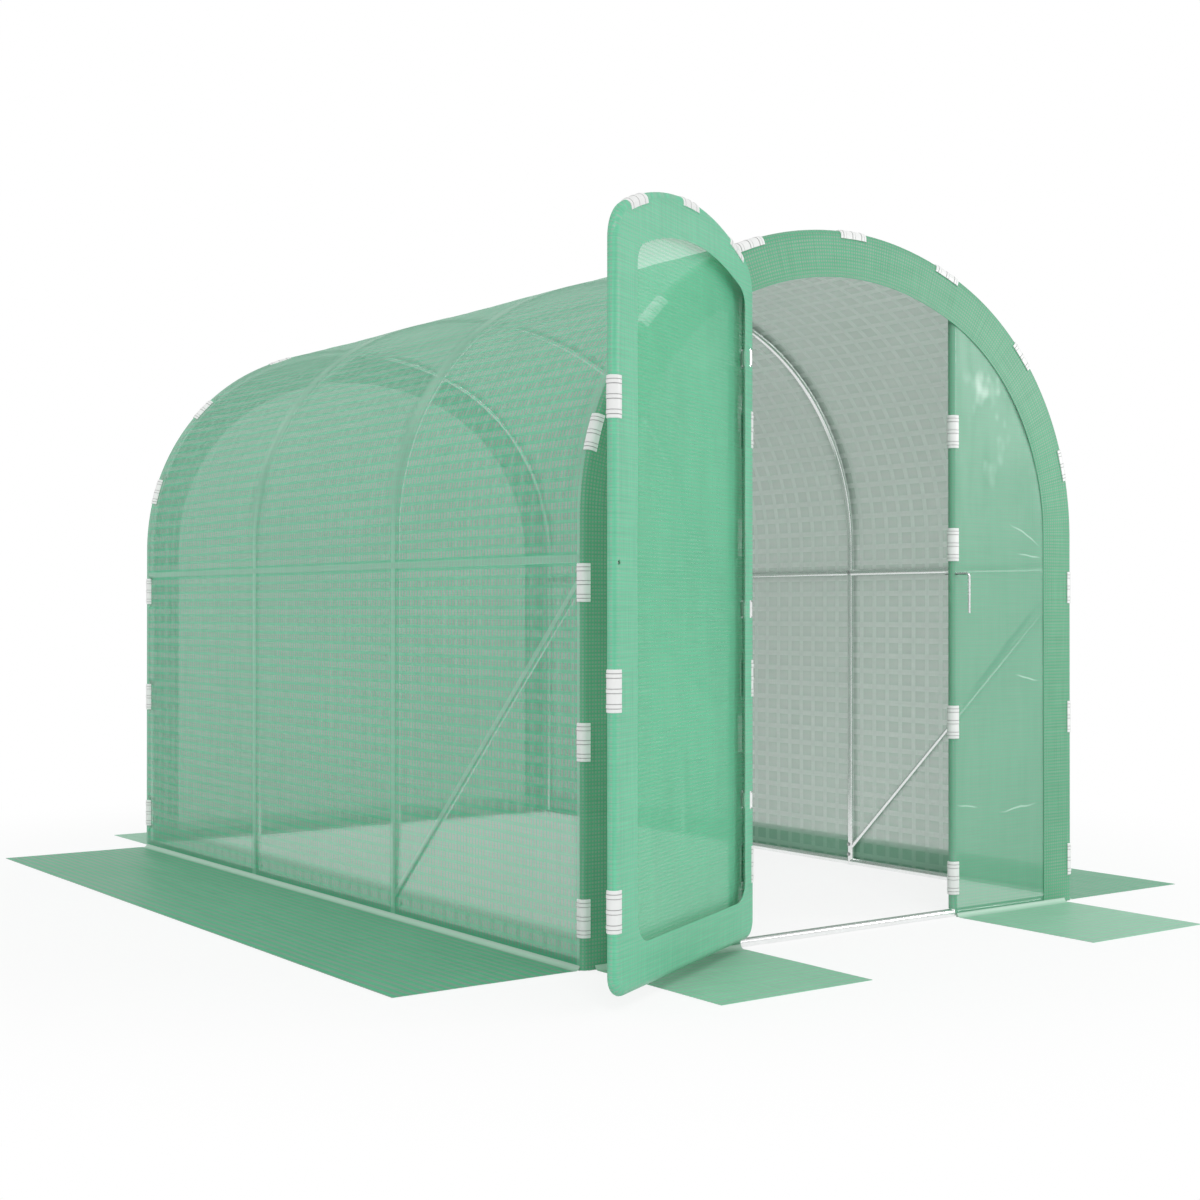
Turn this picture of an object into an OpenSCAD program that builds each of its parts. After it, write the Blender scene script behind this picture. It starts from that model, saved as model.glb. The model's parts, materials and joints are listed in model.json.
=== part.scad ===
// Polytunnel greenhouse: four tube hoops under a film cover, with ground skirts and a hinged door.
// The origin lies on the ground under the middle of the footprint, +Z is up and the door end faces -Y.

/* [Tunnel] */
// Width over the hoop tubes
tunnel_w = 1950; // [1850:10:2100]
// Height over the hoop tubes
tunnel_h = 2060; // [1980:10:2160]
// Length from the axis of the front hoop to the axis of the back hoop
tunnel_l = 3000; // [2700:50:3600]
// Distance from the middle of the tunnel to the centre of each shoulder's bend
shoulder_x = 128.5; // [100:0.5:180]
// Bend radius of the hoop's crown, at the tube axis
crown_r = 1126; // [1060:1:1250]

/* [Frame] */
// Outer diameter of the hoop, rail, post and door tubes
tube_d = 25; // [20:1:28]
// Outer diameter of the diagonal braces
brace_d = 16; // [12:1:20]
// Wall of the tubes
tube_wall = 1; // [0.8:0.1:1.5]
// Height of the waist rails along the long walls
waist_h = 1085; // [1070:5:1150]
// Distance below the waist rail at which each brace meets the front leg
brace_drop = 55; // [50:1:180]
// Height at which each brace meets the foot of the second hoop
brace_foot_h = 62; // [55:1:150]
// Distance from the middle of the doorway to each door post
post_x = 436; // [420:1:460]

/* [Film] */
// Thickness of the film
film_t = 1.2; // [1:0.1:2]
// Gap between parts that lie against each other
seat = 0.3; // [0.2:0.05:0.4]
// Width of the cover's edge where it is turned over the end hoops
band_w = 138; // [110:1:160]
// Width of the skirts beside the long walls
side_skirt = 560; // [400:10:700]
// Reach of the front skirts from the front hoop
front_skirt = 535; // [400:5:600]
// Reach of the back skirt from the back hoop
back_skirt = 430; // [300:5:600]
// Film left free behind each door post
wrap_tail = 20; // [15:1:30]

/* [Clips] */
// Length of a film clip
clip_l = 102; // [80:1:106]
// Wall of a film clip
clip_t = 3; // [2:0.1:3.5]
// Length of the straight lips of a clip
clip_lip = 9; // [6:0.5:11]
// Height of the ribs across a clip
clip_rib = 0.8; // [0.5:0.1:1.5]
// Width of the ribs across a clip
rib_w = 8.5; // [6:0.5:10]

/* [Door] */
// Highest point of the door
door_top = 2000; // [1960:5:2010]
// Clearance under the door
door_low = 38; // [32:1:50]
// Bend radius of the door's arched top, at the tube axis
door_crown_r = 940; // [850:10:1100]
// Bend radius of the door's top corners, at the tube axis
door_corner_r = 90; // [70:1:110]
// Bend radius of the door's bottom corners, at the tube axis
door_foot_r = 35; // [30:1:50]
// Distance of the door's plane in front of the front hoop
door_reach = 43; // [42:1:50]
// Angle at which the door stands open
door_open = 151.5; // [0:0.5:180]
// Hem inside the door along the free side
hem_free = 115; // [90:1:140]
// Hem inside the door along the hinge side
hem_hinge = 70; // [60:1:100]
// Hem inside the door along the top and bottom
hem_end = 110; // [90:1:140]

/* [Hinges and latch] */
// Height of each hinge bracket
hinge_h = 40; // [30:1:50]
// Wall of the hinge brackets
hinge_t = 3; // [2:0.1:3.5]
// Diameter of the latch pin
pin_d = 8; // [6:0.5:9]
// Height of the latch pin
latch_h = 1060; // [1040:1:1070]
// Length of the latch pin's hanging handle
handle_l = 122; // [90:1:160]

/* [Hidden] */
$fn = 144;

steel = "silver";
film = "mediumseagreen";
white = "whitesmoke";

tube_r = tube_d / 2;
half_w = tunnel_w / 2 - tube_r;
shoulder_r = half_w - shoulder_x;
bay = tunnel_l / 3;
y_front = -(tunnel_l + back_skirt - front_skirt) / 2;
y_back = y_front + tunnel_l;
brace_top_h = waist_h - brace_drop;

// Film lies one seat outside the tubes, and a clip one seat outside the film
film_r = tube_r + seat;
film_out = film_r + film_t;
clip_r = film_out + seat;
// The end panels lie one seat behind the turned edge, and the posts behind the panels
panel_face = tube_r;
panel_inset = sqrt(film_r * film_r - pow(panel_face - film_t, 2));
post_back = film_out - panel_face;
ridge_end = panel_face - film_t - 1;

// Half span, peak, crown radius and corner radius of an arch, all at the tube axis
hoop = [half_w, tunnel_h - tube_r, crown_r, shoulder_r];
door_arch = [post_x, door_top - film_out, door_crown_r, door_corner_r];
function lean(arch) = asin((arch[0] - arch[3]) / (arch[2] - arch[3]));
function spring(arch) = arch[1] - arch[2] + (arch[2] - arch[3]) * cos(lean(arch));
function inner(arch, inset) = [arch[0] - inset, arch[1] - inset, arch[2] - inset, arch[3] - inset];
function arc_angle(length, radius) = length / radius * 180 / PI;

// Places of the clips on the hoops, the door posts and the door
waist_clip_gap = 1.5;
leg_clips = [137, 600, waist_h - tube_r - waist_clip_gap - clip_l / 2];
shoulder_clips = [16.2, 43.2];
crown_clips = [-20.6, 0, 20.6];
post_clips = [120, 601, 1149, 1498];
stile_clips = [241, 758, 1449];
door_crown_clips = [-20, 0, 20];
rib_pitch = 0.35 * clip_l;
clip_ease = clip_t / 2;

hinge_places = [420, 950, 1650];
hinge_run = 0.1;
hinge_web = 6;
hinge_y = y_front - door_reach;
hinge_drop = door_reach + post_back;
notch_reach = tube_r + 6;
notch_margin = 5;

door_axis_low = door_low + film_out;
window_corner = 60;

pin_r = pin_d / 2;
pin_bore = pin_r + 0.2;
pin_tail = 30;
pin_bend = 10;
pin_nose = door_reach + film_out + 9;

// Slice of a plane between two angles
module wedge(from, to, reach) {
    middle = (from + to) / 2;
    polygon([[0, 0], for (a = [from, middle, to]) 2 * reach * [cos(a), sin(a)]]);
}

module pie(from, to, radius) {
    intersection() {
        circle(r = radius);
        wedge(from, to, radius);
    }
}

// Area under an arch, with its lower corners rounded by foot
module arch_area(arch, base, foot = 0) {
    half = arch[0];
    rise_from = spring(arch);
    translate([-half, base + foot])
        square([2 * half, rise_from - base - foot]);
    for (side = [0, 1])
        mirror([side, 0])
            translate([half - arch[3], rise_from])
                pie(0, 90 - lean(arch), arch[3]);
    translate([0, arch[1] - arch[2]])
        pie(90 - lean(arch), 90 + lean(arch), arch[2]);
    if (foot > 0) {
        translate([-half + foot, base])
            square([2 * (half - foot), foot]);
        for (side = [0, 1])
            mirror([side, 0])
                translate([half - foot, base + foot])
                    pie(-90, 0, foot);
    }
}

// Stands a plane outline up, facing the door end, with its front at y
module stand_up(y, thickness) {
    translate([0, y + thickness, 0])
        rotate([90, 0, 0])
            linear_extrude(thickness)
                children();
}

// Bend of a section, whose x points outward and whose y points back
module bend(radius, from, sweep) {
    rotate([90, 0, 0])
        rotate([0, 0, from])
            rotate_extrude(angle = sweep)
                translate([radius, 0])
                    mirror([0, 1])
                        children();
}

// Lengths of a section up one leg, round the arch and down the other leg, a seat apart at each joint
module along_arch(arch, base) {
    for (side = [0, 1])
        mirror([side, 0, 0]) {
            translate([arch[0], 0, base])
                linear_extrude(spring(arch) - base - seat)
                    children();
            translate([arch[0] - arch[3], 0, spring(arch)])
                bend(arch[3], 0, 90 - lean(arch) - arc_angle(seat, arch[3]))
                    children();
        }
    translate([0, 0, arch[1] - arch[2]])
        bend(arch[2], 90 - lean(arch), 2 * lean(arch))
            children();
}

// Lengths of a section round the door's foot, between the stiles
module along_foot(half, base, foot) {
    joint = arc_angle(seat, foot);
    for (side = [0, 1])
        mirror([side, 0, 0])
            translate([half - foot, 0, base + foot])
                bend(foot, joint - 90, 90 - 2 * joint)
                    children();
    translate([foot - half, 0, base])
        rotate([0, 90, 0])
            linear_extrude(2 * (half - foot))
                children();
}

module ring(inner_r, wall) {
    difference() {
        circle(r = inner_r + wall);
        circle(r = inner_r);
    }
}

module quarter_ring(inner_r, wall) {
    intersection() {
        ring(inner_r, wall);
        translate([0, -inner_r - wall])
            square(inner_r + wall);
    }
}

module half_ring(inner_r, wall) {
    intersection() {
        ring(inner_r, wall);
        translate([0, -inner_r - wall])
            square([inner_r + wall, 2 * (inner_r + wall)]);
    }
}

// Cylinder along Y from one place to another
module rod_y(x, z, from, to, radius) {
    translate([x, from, z])
        rotate([-90, 0, 0])
            cylinder(r = radius, h = to - from);
}

// Cylinder along X, centred
module rod_x(y, z, length, radius) {
    translate([0, y, z])
        rotate([0, 90, 0])
            cylinder(r = radius, h = length, center = true);
}

module tube_section(diameter) {
    ring(diameter / 2 - tube_wall, tube_wall);
}

// Tube along Y from one place to another
module tube_y(x, z, from, to) {
    translate([x, from, z])
        rotate([-90, 0, 0])
            linear_extrude(to - from)
                tube_section(tube_d);
}

// Clears the legs of the hoops out of whatever ends against them
module clear_legs(side) {
    difference() {
        children();
        for (i = [0:3])
            translate([side * half_w, y_front + i * bay, -1])
                cylinder(r = film_r, h = tunnel_h);
    }
}

module hoop_tube(place) {
    color(steel)
        translate([0, y_front + place * bay, 0])
            along_arch(hoop, 0)
                tube_section(tube_d);
}

module long_rail(side, z) {
    color(steel)
        clear_legs(side)
            for (i = [0:2])
                tube_y(side * half_w, z, y_front + i * bay, y_front + (i + 1) * bay);
}

module cross_rail(y) {
    color(steel)
        translate([0, y, tube_r])
            rotate([0, 90, 0])
                linear_extrude(2 * (half_w - film_r), center = true)
                    tube_section(tube_d);
}

// Straight tube under the crowns of all the hoops
module ridge_tube() {
    color(steel)
        tube_y(0, hoop[1] - tube_d - seat, y_front - ridge_end, y_back + ridge_end);
}

module brace(side) {
    run = [bay, brace_top_h - brace_foot_h];
    color(steel)
        clear_legs(side)
            translate([side * half_w, y_front, brace_top_h])
                rotate([-90 - atan2(run[1], run[0]), 0, 0])
                    linear_extrude(norm(run))
                        tube_section(brace_d);
}

module door_post(side) {
    color(steel)
        difference() {
            intersection() {
                translate([side * post_x, y_front + post_back, tube_r])
                    linear_extrude(tunnel_h)
                        tube_section(tube_d);
                stand_up(y_front - tube_d, 2 * tube_d)
                    arch_area(inner(hoop, film_r), 0);
            }
            rod_x(y_front + post_back, tube_r, tunnel_w, film_r);
            if (side > 0)
                rod_y(post_x, latch_h, y_front - tube_d, y_front + tube_d, pin_bore);
        }
}

// Film of the cover, open where the clips of the back hoop go in to grip the tube
module cover_film() {
    color(film)
        difference() {
            children();
            translate([0, y_back, 0])
                mirror([0, 1, 0])
                    at_hoop_clips()
                        clip_room();
        }
}

module wall_cover(side) {
    cover_film()
        translate([side > 0 ? half_w + film_r : -half_w - film_out, y_front, 0])
            cube([film_t, tunnel_l, spring(hoop)]);
}

module vault(radius, from, sweep) {
    translate([0, y_front, 0])
        bend(radius, from, sweep)
            translate([film_r, 0])
                square([film_t, tunnel_l]);
}

module roof_cover(side) {
    cover_film()
        mirror([side > 0 ? 0 : 1, 0, 0])
            translate([half_w - shoulder_r, 0, spring(hoop)])
                vault(shoulder_r, 0, 90 - lean(hoop));
}

module crown_cover() {
    cover_film()
        translate([0, 0, hoop[1] - crown_r])
            vault(crown_r, 90 - lean(hoop), 2 * lean(hoop));
}

// Edge of the cover, turned over an end hoop and down against the end panel
module band_section() {
    quarter_ring(film_r, film_t);
    translate([film_out - band_w, -film_out])
        square([band_w - film_out, film_t]);
}

module front_band() {
    color(film)
        translate([0, y_front, 0])
            along_arch(hoop, film_t + seat)
                band_section();
}

module back_band() {
    color(film)
        translate([0, y_back, 0])
            along_arch(hoop, film_t + seat)
                mirror([0, 1])
                    band_section();
}

// Film turned round a door post, on the doorway's side
module post_wrap() {
    mirror([1, 0])
        half_ring(film_r, film_t);
    translate([0, film_r])
        square([wrap_tail, film_t]);
}

module front_panel(side) {
    color(film)
        mirror([side > 0 ? 0 : 1, 0, 0])
            difference() {
                union() {
                    stand_up(y_front - panel_face, film_t)
                        intersection() {
                            arch_area(inner(hoop, panel_inset), 0);
                            translate([post_x, 0])
                                square([tunnel_w, tunnel_h]);
                        }
                    intersection() {
                        translate([post_x, y_front + post_back, tube_d + seat])
                            linear_extrude(tunnel_h)
                                post_wrap();
                        stand_up(y_front - tube_d, 2 * tube_d)
                            arch_area(inner(hoop, film_r), 0);
                    }
                }
                if (side > 0)
                    rod_y(post_x, latch_h, y_front - tube_d, y_front + tube_d, pin_r + 1);
            }
}

module back_panel() {
    color(film)
        stand_up(y_back + panel_face - film_t, film_t)
            arch_area(inner(hoop, panel_inset), 0);
}

module side_skirt_sheet(side) {
    color(film)
        translate([side > 0 ? half_w + film_out : -half_w - film_out - side_skirt, y_front, 0])
            cube([side_skirt, tunnel_l, film_t]);
}

module front_skirt_sheet(side) {
    skirt_w = half_w - tube_d - post_x;
    color(film)
        translate([side > 0 ? post_x : -post_x - skirt_w, y_front - front_skirt, 0])
            cube([skirt_w, front_skirt - panel_face, film_t]);
}

module back_skirt_sheet() {
    color(film)
        translate([-half_w + tube_r, y_back + panel_face, 0])
            cube([2 * (half_w - tube_r), back_skirt - panel_face, film_t]);
}

// Wall of a clip, cut along its length: three ribs between eased ends
module ribbed_wall() {
    end = clip_l / 2;
    ribs = [for (rib = [-1, 0, 1], step = [[0, -1], [1, -1], [1, 1], [0, 1]])
        [clip_t + step[0] * clip_rib, rib * rib_pitch + step[1] * rib_w / 2]];
    translate([clip_r, 0])
        polygon(concat([[0, -end], [clip_t - clip_ease, -end], [clip_t, clip_ease - end]], ribs,
            [[clip_t, end - clip_ease], [clip_t - clip_ease, end], [0, end]]));
}

module clip_bend(sweep) {
    rotate([0, 0, -90])
        rotate_extrude(angle = sweep)
            ribbed_wall();
}

// Straight lip of a clip, beyond the front of its bend
module clip_front_lip() {
    rotate([0, 0, -90])
        rotate([90, 0, 0])
            linear_extrude(clip_lip)
                ribbed_wall();
}

// Clip over the turned edge of the front hoop, lying flat on the cover
module front_clip() {
    clip_bend(90);
    clip_front_lip();
    translate([0, clip_lip, 0])
        rotate([90, 0, 0])
            linear_extrude(clip_lip)
                ribbed_wall();
}

// Clip over the turned edge of the back hoop, bent round the tube's inner side
module back_clip() {
    clip_bend(180);
    clip_front_lip();
}

// Room that the cover leaves for a clip of the back hoop
module clip_room() {
    reach = clip_r + clip_t + clip_rib + seat;
    translate([0, -seat, -clip_l / 2 - seat])
        cube([2 * reach, reach + seat, clip_l + 2 * seat]);
}

// Clip round a tube whose film is turned through half a circle
module edge_clip() {
    clip_bend(180);
    for (side = [0, 1])
        mirror([0, side, 0])
            clip_front_lip();
}

// Sets a clip on a bend of a tube, at an angle from the horizontal
module on_bend(radius, angle) {
    rotate([0, -angle, 0])
        translate([radius, 0, 0])
            children();
}

// Sets a piece at each clip of an end hoop
module at_hoop_clips() {
    for (side = [0, 1])
        mirror([side, 0, 0]) {
            for (z = leg_clips)
                translate([half_w, 0, z])
                    children();
            for (angle = shoulder_clips)
                translate([half_w - shoulder_r, 0, spring(hoop)])
                    on_bend(shoulder_r, angle)
                        children();
        }
    for (angle = crown_clips)
        translate([0, 0, hoop[1] - crown_r])
            on_bend(crown_r, 90 + angle)
                children();
}

module front_hoop_clips() {
    color(white)
        translate([0, y_front, 0])
            at_hoop_clips()
                front_clip();
}

module back_hoop_clips() {
    color(white)
        translate([0, y_back, 0])
            mirror([0, 1, 0])
                at_hoop_clips()
                    back_clip();
}

module door_post_clips(side) {
    color(white)
        mirror([side > 0 ? 0 : 1, 0, 0])
            for (z = post_clips)
                translate([post_x, y_front + post_back, z])
                    mirror([1, 0, 0])
                        edge_clip();
}

// Strap that holds the door's hinge stile to the left post and lets it turn
module hinge_section() {
    difference() {
        union() {
            circle(r = tube_r + hinge_run + hinge_t);
            square([hinge_web, hinge_drop - clip_r]);
            translate([0, hinge_drop])
                half_ring(clip_r, hinge_t);
        }
        circle(r = tube_r + hinge_run);
        translate([0, hinge_drop])
            circle(r = clip_r);
    }
}

module hinge_brackets() {
    color(steel)
        for (z = hinge_places)
            translate([-post_x, hinge_y, z])
                linear_extrude(hinge_h, center = true)
                    hinge_section();
}

// Sets the closed door, drawn about its own middle, at its open angle on the hinge axis
module hang_door() {
    translate([-post_x, hinge_y, 0])
        rotate([0, 0, -door_open])
            translate([post_x, 0, 0])
                children();
}

module round_door() {
    along_arch(door_arch, door_axis_low + door_foot_r)
        children();
    along_foot(post_x, door_axis_low, door_foot_r)
        children();
}

module door_latch_hole(radius) {
    rod_y(post_x, latch_h, -tube_d, tube_d, radius);
}

module door_frame() {
    color(steel)
        hang_door()
            difference() {
                round_door()
                    tube_section(tube_d);
                door_latch_hole(pin_r + 0.6);
            }
}

module hem_window() {
    window = [post_x - (hem_free + hem_hinge) / 2 + film_out, door_top - hem_end,
        door_crown_r, window_corner];
    translate([(hem_hinge - hem_free) / 2, 0])
        arch_area(window, door_low + hem_end, window_corner);
}

// Clears the latch hole and the hinges out of the door's film
module clear_fittings() {
    difference() {
        children();
        door_latch_hole(pin_r + 2);
        for (z = hinge_places)
            translate([-post_x - tube_d, -tube_d, z - hinge_h / 2 - notch_margin])
                cube([tube_d + notch_reach, 2 * tube_d, hinge_h + 2 * notch_margin]);
    }
}

module door_face() {
    arch_area(inner(door_arch, seat), door_axis_low + seat, door_foot_r - seat);
}

module door_panel() {
    color(film)
        hang_door()
            clear_fittings()
                stand_up(-film_out, film_t)
                    door_face();
}

module door_hem() {
    color(film)
        hang_door()
            clear_fittings()
                stand_up(film_r, film_t)
                    difference() {
                        door_face();
                        hem_window();
                    }
}

// Film turned round the door's tubes from the panel to the hem
module door_edge() {
    color(film)
        hang_door()
            clear_fittings()
                round_door()
                    half_ring(film_r, film_t);
}

module door_clips() {
    color(white)
        hang_door() {
            for (side = [0, 1])
                mirror([side, 0, 0])
                    for (z = stile_clips)
                        translate([post_x, 0, z])
                            edge_clip();
            for (angle = door_crown_clips)
                translate([0, 0, door_arch[1] - door_crown_r])
                    on_bend(door_crown_r, 90 + angle)
                        edge_clip();
        }
}

// Pin through the right post, with its end bent down as a handle
module latch_pin() {
    nose = y_front - pin_nose;
    color(steel) {
        rod_y(post_x, latch_h, nose + pin_bend, y_front + pin_tail, pin_r);
        translate([post_x, nose + pin_bend, latch_h - pin_bend])
            rotate([0, 90, 0])
                rotate([0, 0, 180])
                    rotate_extrude(angle = 90)
                        translate([pin_bend, 0])
                            circle(r = pin_r);
        translate([post_x, nose, latch_h - handle_l])
            cylinder(r = pin_r, h = handle_l - pin_bend);
    }
}

hoop_tube(0);  // front_hoop
hoop_tube(1);  // second_hoop
hoop_tube(2);  // third_hoop
hoop_tube(3);  // back_hoop
ridge_tube();
long_rail(-1, waist_h);  // left_waist_rail
long_rail(1, waist_h);  // right_waist_rail
long_rail(-1, tube_r);  // left_base_rail
long_rail(1, tube_r);  // right_base_rail
cross_rail(y_front + post_back);  // threshold_rail
cross_rail(y_back - post_back);  // back_base_rail
door_post(-1);  // left_door_post
door_post(1);  // right_door_post
brace(-1);  // left_brace
brace(1);  // right_brace
wall_cover(-1);  // left_wall_cover
roof_cover(-1);  // left_roof_cover
crown_cover();
roof_cover(1);  // right_roof_cover
wall_cover(1);  // right_wall_cover
front_band();
back_band();
front_panel(-1);  // front_left_panel
front_panel(1);  // front_right_panel
back_panel();
side_skirt_sheet(-1);  // left_skirt
side_skirt_sheet(1);  // right_skirt
front_skirt_sheet(-1);  // front_left_skirt
front_skirt_sheet(1);  // front_right_skirt
back_skirt_sheet();  // back_skirt
front_hoop_clips();
back_hoop_clips();
door_post_clips(-1);  // left_post_clips
door_post_clips(1);  // right_post_clips
hinge_brackets();
door_frame();
door_panel();
door_edge();
door_hem();
door_clips();
latch_pin();
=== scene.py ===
"""Looks of a polytunnel greenhouse: film, clips, bolts and stitches laid on its tube frame."""

import json
import math

import bpy
from mathutils import Matrix, Vector


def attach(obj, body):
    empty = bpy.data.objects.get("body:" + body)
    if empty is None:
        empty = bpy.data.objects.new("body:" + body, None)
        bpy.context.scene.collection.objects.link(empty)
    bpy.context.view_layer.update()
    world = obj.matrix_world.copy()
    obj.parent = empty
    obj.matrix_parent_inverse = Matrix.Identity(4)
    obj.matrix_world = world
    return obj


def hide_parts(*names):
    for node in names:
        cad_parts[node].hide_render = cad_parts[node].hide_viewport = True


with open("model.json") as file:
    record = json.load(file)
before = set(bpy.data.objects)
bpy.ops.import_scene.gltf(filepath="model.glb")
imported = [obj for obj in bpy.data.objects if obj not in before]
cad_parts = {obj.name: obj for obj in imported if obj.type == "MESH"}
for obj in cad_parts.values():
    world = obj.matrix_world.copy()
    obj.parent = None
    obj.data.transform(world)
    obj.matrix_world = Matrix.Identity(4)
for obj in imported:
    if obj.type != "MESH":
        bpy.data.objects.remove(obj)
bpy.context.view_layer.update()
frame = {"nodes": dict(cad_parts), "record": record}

# Tunnel, in metres
HALF_W, PEAK, CROWN_R, SHOULDER_R = 0.9625, 2.0475, 1.126, 0.834
BAY, Y_FRONT, Y_BACK = 1.0, -1.4475, 1.5525
TUBE_R, FILM_IN, FILM_OUT, FILM_T = 0.0125, 0.0128, 0.014, 0.0012
WAIST_H, BRACE_TOP, BRACE_FOOT = 1.085, 1.030, 0.062
POST_X, POST_BACK, WRAP_TAIL = 0.436, 0.0015, 0.020
PANEL_FACE, PANEL_INSET = 0.0125, 0.0061
PANEL_TOP_GAP, WRAP_TOP_GAP, WRAP_LOW, HELD_EDGE = 0.0004, 0.001, 0.0253, 0.10
QUARTER_TURN = FILM_OUT * math.pi / 2
BAND_W, GROUND_GAP = 0.138, 0.0015
BAND_RUN = QUARTER_TURN + BAND_W - FILM_OUT
SIDE_SKIRT, FRONT_SKIRT, BACK_SKIRT = 0.560, 0.535, 0.430
SKIRT_TURN, TURN_SHARE, SIDE_SKIRT_GAP, END_SKIRT_GAP = 0.012, 0.57, 0.0003, 0.002
COVER_NODES = ("left_wall_cover", "left_roof_cover", "crown_cover", "right_roof_cover", "right_wall_cover")
HOOP_NODES = ["front_hoop", "second_hoop", "third_hoop", "back_hoop"]

# Clips
CLIP_L, CLIP_IN, CLIP_OUT, CLIP_LIP = 0.102, 0.0143, 0.0173, 0.009
RIB_H, RIB_W, RIB_AT, CLIP_BEVEL = 0.0008, 0.0085, 0.036, 0.0016
GROOVE_W, GROOVE_D, GROOVE_EASE, RIB_EASE, LIP_SHARE = 0.0016, 0.0014, 0.0006, 0.0002, 0.55
BACK_GRIP = math.radians(78)
DENT_DEPTH, DENT_FLOOR, DENT_REACH, DENT_FADE = 0.0118, 0.0188, 0.095, 0.020
DENT_ROWS = (-0.003, 0.0, 0.003, 0.006, 0.010, 0.014, 0.020)
LEG_CLIPS, SHOULDER_CLIPS, CROWN_CLIPS = (0.137, 0.600, 1.020), (16.2, 43.2), (-20.6, 0.0, 20.6)
POST_CLIPS, STILE_CLIPS = (0.120, 0.601, 1.149, 1.498), (0.241, 0.758, 1.449)
DOOR_CROWN_CLIPS = (-20.0, 0.0, 20.0)

# Door, drawn closed about its own middle and then hung
DOOR_TOP, DOOR_LOW, DOOR_CROWN_R, DOOR_CORNER_R, DOOR_FOOT_R = 2.000, 0.038, 0.940, 0.090, 0.035
DOOR_REACH, DOOR_OPEN = 0.043, math.radians(151.5)
HEM_FREE, HEM_HINGE, HEM_END, WINDOW_R = 0.115, 0.070, 0.110, 0.060
HINGE_PLACES, HINGE_H, NOTCH_MARGIN, NOTCH_REACH = (0.420, 0.950, 1.650), 0.040, 0.005, 0.0185
SHEET_INSET, HEM_STEPS = 0.0003, (0.04, 0.12, 0.25, 0.4, 0.55, 0.7, 0.85, 1.0)
LATCH_H, PIN_R, HOLE_REACH, POST_HOLE_GAP, DOOR_HOLE_GAP = 1.060, 0.004, 0.03, 0.001, 0.002
NOTCH_DEPTH = 0.025

# Bolts and stitches
WASHER = {"Vertices": 20, "Radius": 0.0072, "Depth": 0.0012}
BOLT_CROWN = {"Vertices": 12, "Radius Top": 0.0026, "Radius Bottom": 0.0046, "Depth": 0.0008}
BOLT = {"Width": 0.010, "Height": 0.0040}
BASE_BOLT_H, FOOT_BOLT_RISE, WASHER_GAP, RIDGE_GAP = 0.040, 0.015, 0.0006, 0.0009
STITCH = {"Pitch": 0.0095, "Length": 0.0062, "Thick": 0.0009}
BAND_SEAMS, HEM_SEAMS, SEAM_END, THREAD_LIFT = (0.008, 0.016), (0.88, 0.94), 0.03, 0.0002


class Arch:
    """Outline of a bent tube: a leg, a shoulder, the crown, and the same again on the other side."""

    def __init__(self, half, peak, crown, corner, base=0.0):
        self.half, self.peak, self.crown, self.corner, self.base = half, peak, crown, corner, base
        self.lean = math.asin((half - corner) / (crown - corner))
        self.spring = peak - crown + (crown - corner) * math.cos(self.lean)
        self.leg = self.spring - base
        self.bend = corner * (math.pi / 2 - self.lean)
        self.half_run = self.leg + self.bend + crown * self.lean
        self.run = 2 * self.half_run

    def at(self, s):
        """(x, z, outward x, outward z) at the run s from the left foot."""
        side, s = (-1, s) if s <= self.half_run else (1, self.run - s)
        if s <= self.leg:
            return side * self.half, self.base + s, side, 0.0
        if s <= self.leg + self.bend:
            a = (s - self.leg) / self.corner
            x = self.half - self.corner + self.corner * math.cos(a)
            return side * x, self.spring + self.corner * math.sin(a), side * math.cos(a), math.sin(a)
        a = math.pi / 2 - self.lean + (s - self.leg - self.bend) / self.crown
        z = self.peak - self.crown + self.crown * math.sin(a)
        return side * self.crown * math.cos(a), z, side * math.cos(a), math.sin(a)

    def height(self, x, inset=0.0):
        """Height over x of the outline set in by inset."""
        x, crown, corner = abs(x), self.crown - inset, self.corner - inset
        if x <= crown * math.sin(self.lean):
            return self.peak - self.crown + math.sqrt(crown * crown - x * x)
        reach = x - self.half + self.corner
        return self.spring + math.sqrt(max(corner * corner - reach * reach, 0.0))

    def bend_at(self, s):
        """How much the tube curves at the run s."""
        s = min(s, self.run - s)
        return 0.0 if s <= self.leg else 1 / self.corner if s <= self.leg + self.bend else 1 / self.crown


HOOP = Arch(HALF_W, PEAK, CROWN_R, SHOULDER_R)
DOOR_AXIS_LOW = DOOR_LOW + FILM_OUT
DOOR = Arch(POST_X, DOOR_TOP - FILM_OUT, DOOR_CROWN_R, DOOR_CORNER_R, DOOR_AXIS_LOW + DOOR_FOOT_R)


DOOR_SWING = Matrix.Rotation(-DOOR_OPEN, 3, "Z")


def hang(p):
    """Place on the open door of a place on the closed door, drawn about its middle."""
    return turn_out((p[0] + POST_X, p[1], p[2])) + Vector((-POST_X, Y_FRONT - DOOR_REACH, 0.0))


def at_front(p):
    """Place in the tunnel of a place measured from the front hoop."""
    return Vector((p[0], Y_FRONT + p[1], p[2]))


def turn_out(p):
    """Direction on the open door of a direction on the closed one."""
    return DOOR_SWING @ Vector(p)


def ease(x, low, high):
    """0 below low, 1 above high, and a smooth rise between."""
    t = min(max((x - low) / (high - low), 0.0), 1.0)
    return t * t * (3 - 2 * t)


def spread(low, high, step):
    """Even places from low to high, about a step apart."""
    n = max(1, round(abs(high - low) / step))
    return [low + (high - low) * i / n for i in range(n + 1)]


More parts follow.
